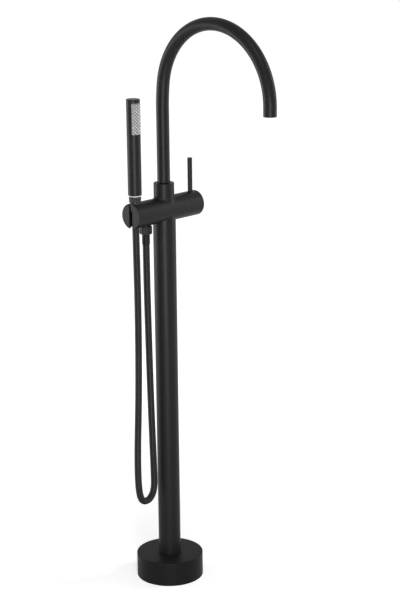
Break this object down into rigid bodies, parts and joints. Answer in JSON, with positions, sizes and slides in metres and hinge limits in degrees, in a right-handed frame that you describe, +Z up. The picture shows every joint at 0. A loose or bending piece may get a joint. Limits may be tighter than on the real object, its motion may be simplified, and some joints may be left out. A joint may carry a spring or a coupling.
{
  "type": "floor standing bath filler",
  "caption": "Matte black floor standing bath filler: a round column on a covered base, a side lever mixer barrel, a tall arched swivel spout and a stick handset on a hanging hose.",
  "frame": {"origin": "centre of the floor flange's underside, on the finished floor under the column's axis", "axes": "+Z up along the column, +X along the mixer barrel to the lever, -Y the way the spout reaches over the bath"},
  "size_m": [0.1837, 0.36, 1.15],
  "materials": {
    "matte_black": "powder coated matte black",
    "black_hose_metal": "black coated interlocked metal hose",
    "panel_grey": "light grey silicone nozzle panel",
    "ring_grey": "light grey plastic",
    "stainless": "plain stainless steel",
    "raw_brass": "machined brass",
    "seal_rubber": "black rubber",
    "white_plastic": "white plastic",
    "grey_plastic": "grey plastic",
    "ceramic": "polished ceramic",
    "braided_hose": "stainless braid over rubber"
  },
  "bodies": {
    "stand": {"floor_flange": "stainless", "column_clamp_screws": "stainless", "hot_supply_hose": "braided_hose", "cold_supply_hose": "braided_hose", "lower_hose_unions": "raw_brass", "upper_hose_unions": "raw_brass", "inlet_strainers": "stainless", "column_tube": "matte_black", "column_top_screws": "stainless", "mixer_body": "matte_black", "spigot_o_ring": "seal_rubber", "cartridge_housing": "grey_plastic", "fixed_ceramic_disc": "ceramic", "cartridge_port_seals": "seal_rubber", "cartridge_ring_nut": "raw_brass", "spout_glide_washer": "white_plastic", "spout_collar_nut": "matte_black", "spout_stop_screw": "stainless", "diverter_gland": "raw_brass", "diverter_spring": "stainless", "shower_outlet_nipple": "raw_brass", "shower_check_valve": "white_plastic", "hose_hex_nut": "matte_black", "hose_lower_washer": "seal_rubber", "hose_lower_ferrule": "matte_black", "shower_hose": "black_hose_metal"},
    "cover": {"base_cover": "matte_black", "base_cover_ring": "seal_rubber"},
    "spout": {"spout_tube": "matte_black", "spout_adapter": "raw_brass", "spout_o_rings": "seal_rubber", "aerator_housing": "matte_black", "aerator_insert": "grey_plastic"},
    "lever": {"lever_hub": "matte_black", "lever_pin": "matte_black", "lever_grub_screw": "stainless", "cartridge_spindle": "raw_brass", "moving_ceramic_disc": "ceramic"},
    "diverter": {"diverter_stem": "stainless", "diverter_seal": "seal_rubber", "diverter_knob": "matte_black"},
    "hose_end": {"hose_upper_ferrule": "matte_black", "hose_upper_washer": "seal_rubber"},
    "handset": {"hose_cone_nut": "matte_black", "handset_inlet": "ring_grey", "flow_restrictor": "white_plastic", "handset_body": "matte_black", "spray_face": "panel_grey", "spray_chamber": "white_plastic"}
  },
  "joints": [
    {"name": "cover_lift", "type": "slide", "parent": "stand", "child": "cover", "axis": [0, 0, 1], "range_m": [0, 0.1]},
    {"name": "spout_swing", "type": "hinge", "parent": "stand", "child": "spout", "pos_m": [0, 0, 0.8], "axis": [0, 0, 1], "range_deg": [-90, 90]},
    {"name": "lever_turn", "type": "hinge", "parent": "stand", "child": "lever", "pos_m": [0.0716, 0, 0.7685], "axis": [1, 0, 0], "range_deg": [0, 100]},
    {"name": "diverter_pull", "type": "slide", "parent": "stand", "child": "diverter", "axis": [0, 1, 0], "range_m": [0, 0.008], "stiffness_N_per_m": 300, "springref_m": -0.004, "deforming": ["diverter_spring"]},
    {"name": "handset_lift", "type": "slide", "parent": "stand", "child": "hose_end", "axis": [0, 0, 1], "range_m": [0, 0.1]},
    {"name": "handset_turn", "type": "hinge", "parent": "hose_end", "child": "handset", "pos_m": [-0.077, 0, 0.8], "axis": [0, 0, 1], "range_deg": [-180, 180]}
  ]
}
